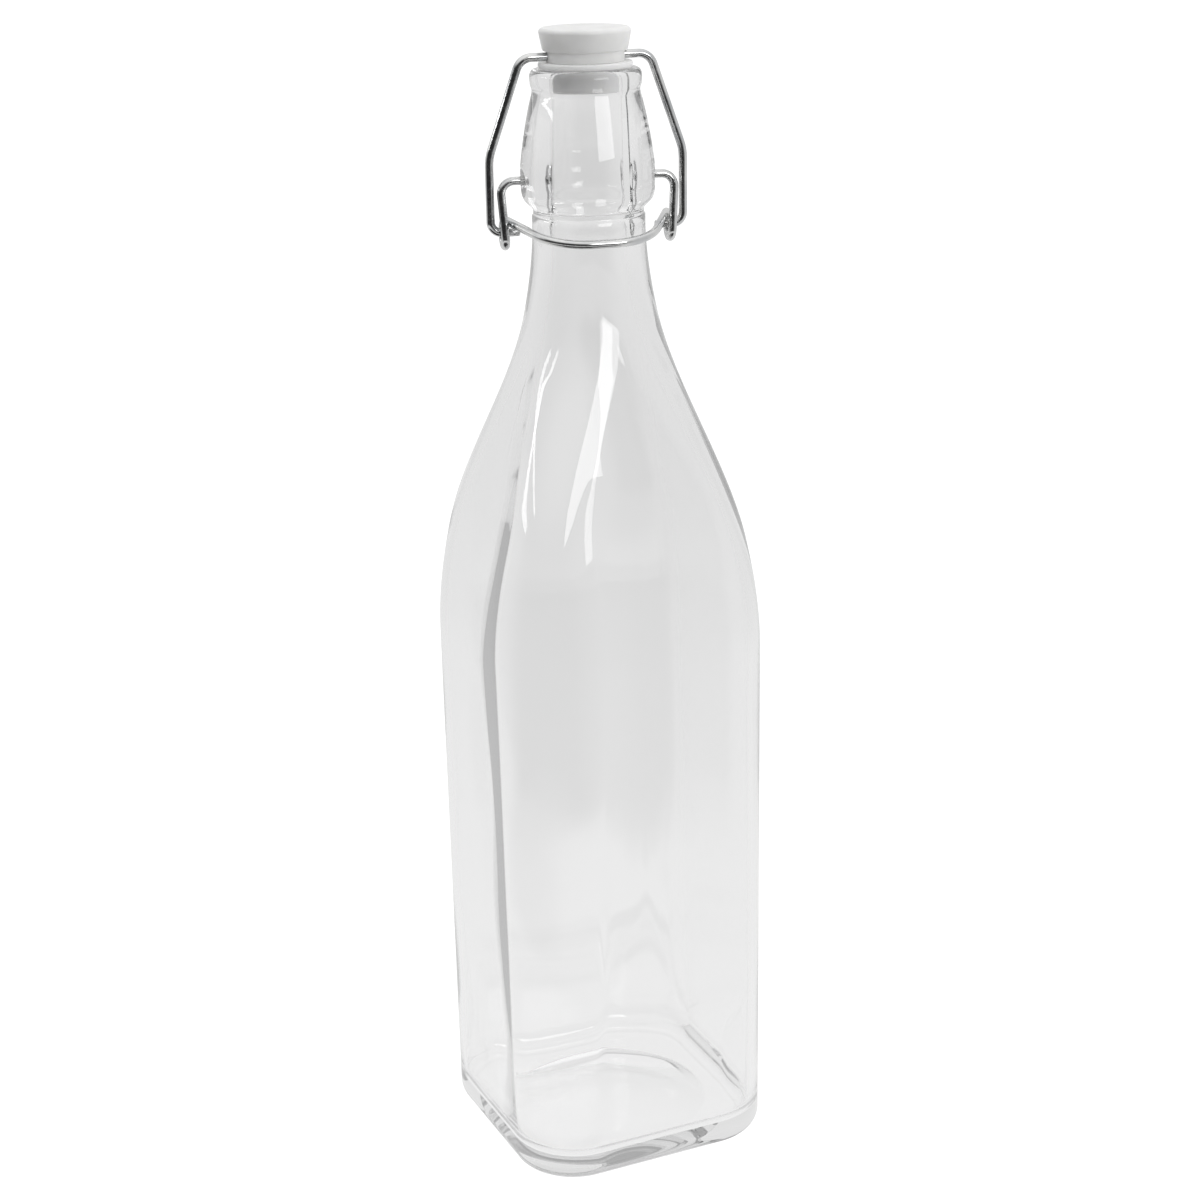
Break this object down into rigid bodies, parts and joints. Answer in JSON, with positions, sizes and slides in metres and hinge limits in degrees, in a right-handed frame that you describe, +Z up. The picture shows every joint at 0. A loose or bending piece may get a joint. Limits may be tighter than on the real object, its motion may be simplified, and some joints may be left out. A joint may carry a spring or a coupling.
{
  "type": "square swing-top bottle",
  "caption": "Tall square clear glass bottle with rounded corners and a drawn-in neck, closed by a white stopper on a steel wire swing-top bail.",
  "frame": {"origin": "centre of the base, on the plane the bottle stands on", "axes": "+Z up along the bottle's axis; -Y is the square body's front face, on the side of the lever's handle; the closure's pivots are turned 12 degrees about Z from the -X and +X sides"},
  "size_m": [0.08, 0.08, 0.3343],
  "materials": {
    "glass": "clear, fire-polished",
    "plastic": "satin white",
    "silicone": "translucent white",
    "steel": "polished wire"
  },
  "bodies": {
    "bottle": {"bottle": "glass"},
    "lever": {"lever_wire": "steel"},
    "yoke": {"yoke_wire": "steel"},
    "stopper": {"stopper": "plastic", "gasket": "silicone"}
  },
  "joints": [
    {"name": "lever_pivot", "type": "hinge", "parent": "bottle", "child": "lever", "pos_m": [0, 0, 0.2928], "axis": [-0.9781, 0.2079, 0], "range_deg": [0, 82]},
    {"name": "yoke_eye_pivot", "type": "hinge", "parent": "lever", "child": "yoke", "pos_m": [0.00031, 0.00147, 0.2783], "axis": [-0.9781, 0.2079, 0], "range_deg": [-60, 0]},
    {"name": "stopper_swivel", "type": "hinge", "parent": "yoke", "child": "stopper", "pos_m": [0, 0, 0.3263], "axis": [-0.9781, 0.2079, 0], "range_deg": [-22.5, 0]}
  ],
  "couplings": [
    {"joint": "yoke_eye_pivot", "follows": "lever_pivot", "ratio": -0.73},
    {"joint": "stopper_swivel", "follows": "lever_pivot", "ratio": -0.27}
  ]
}
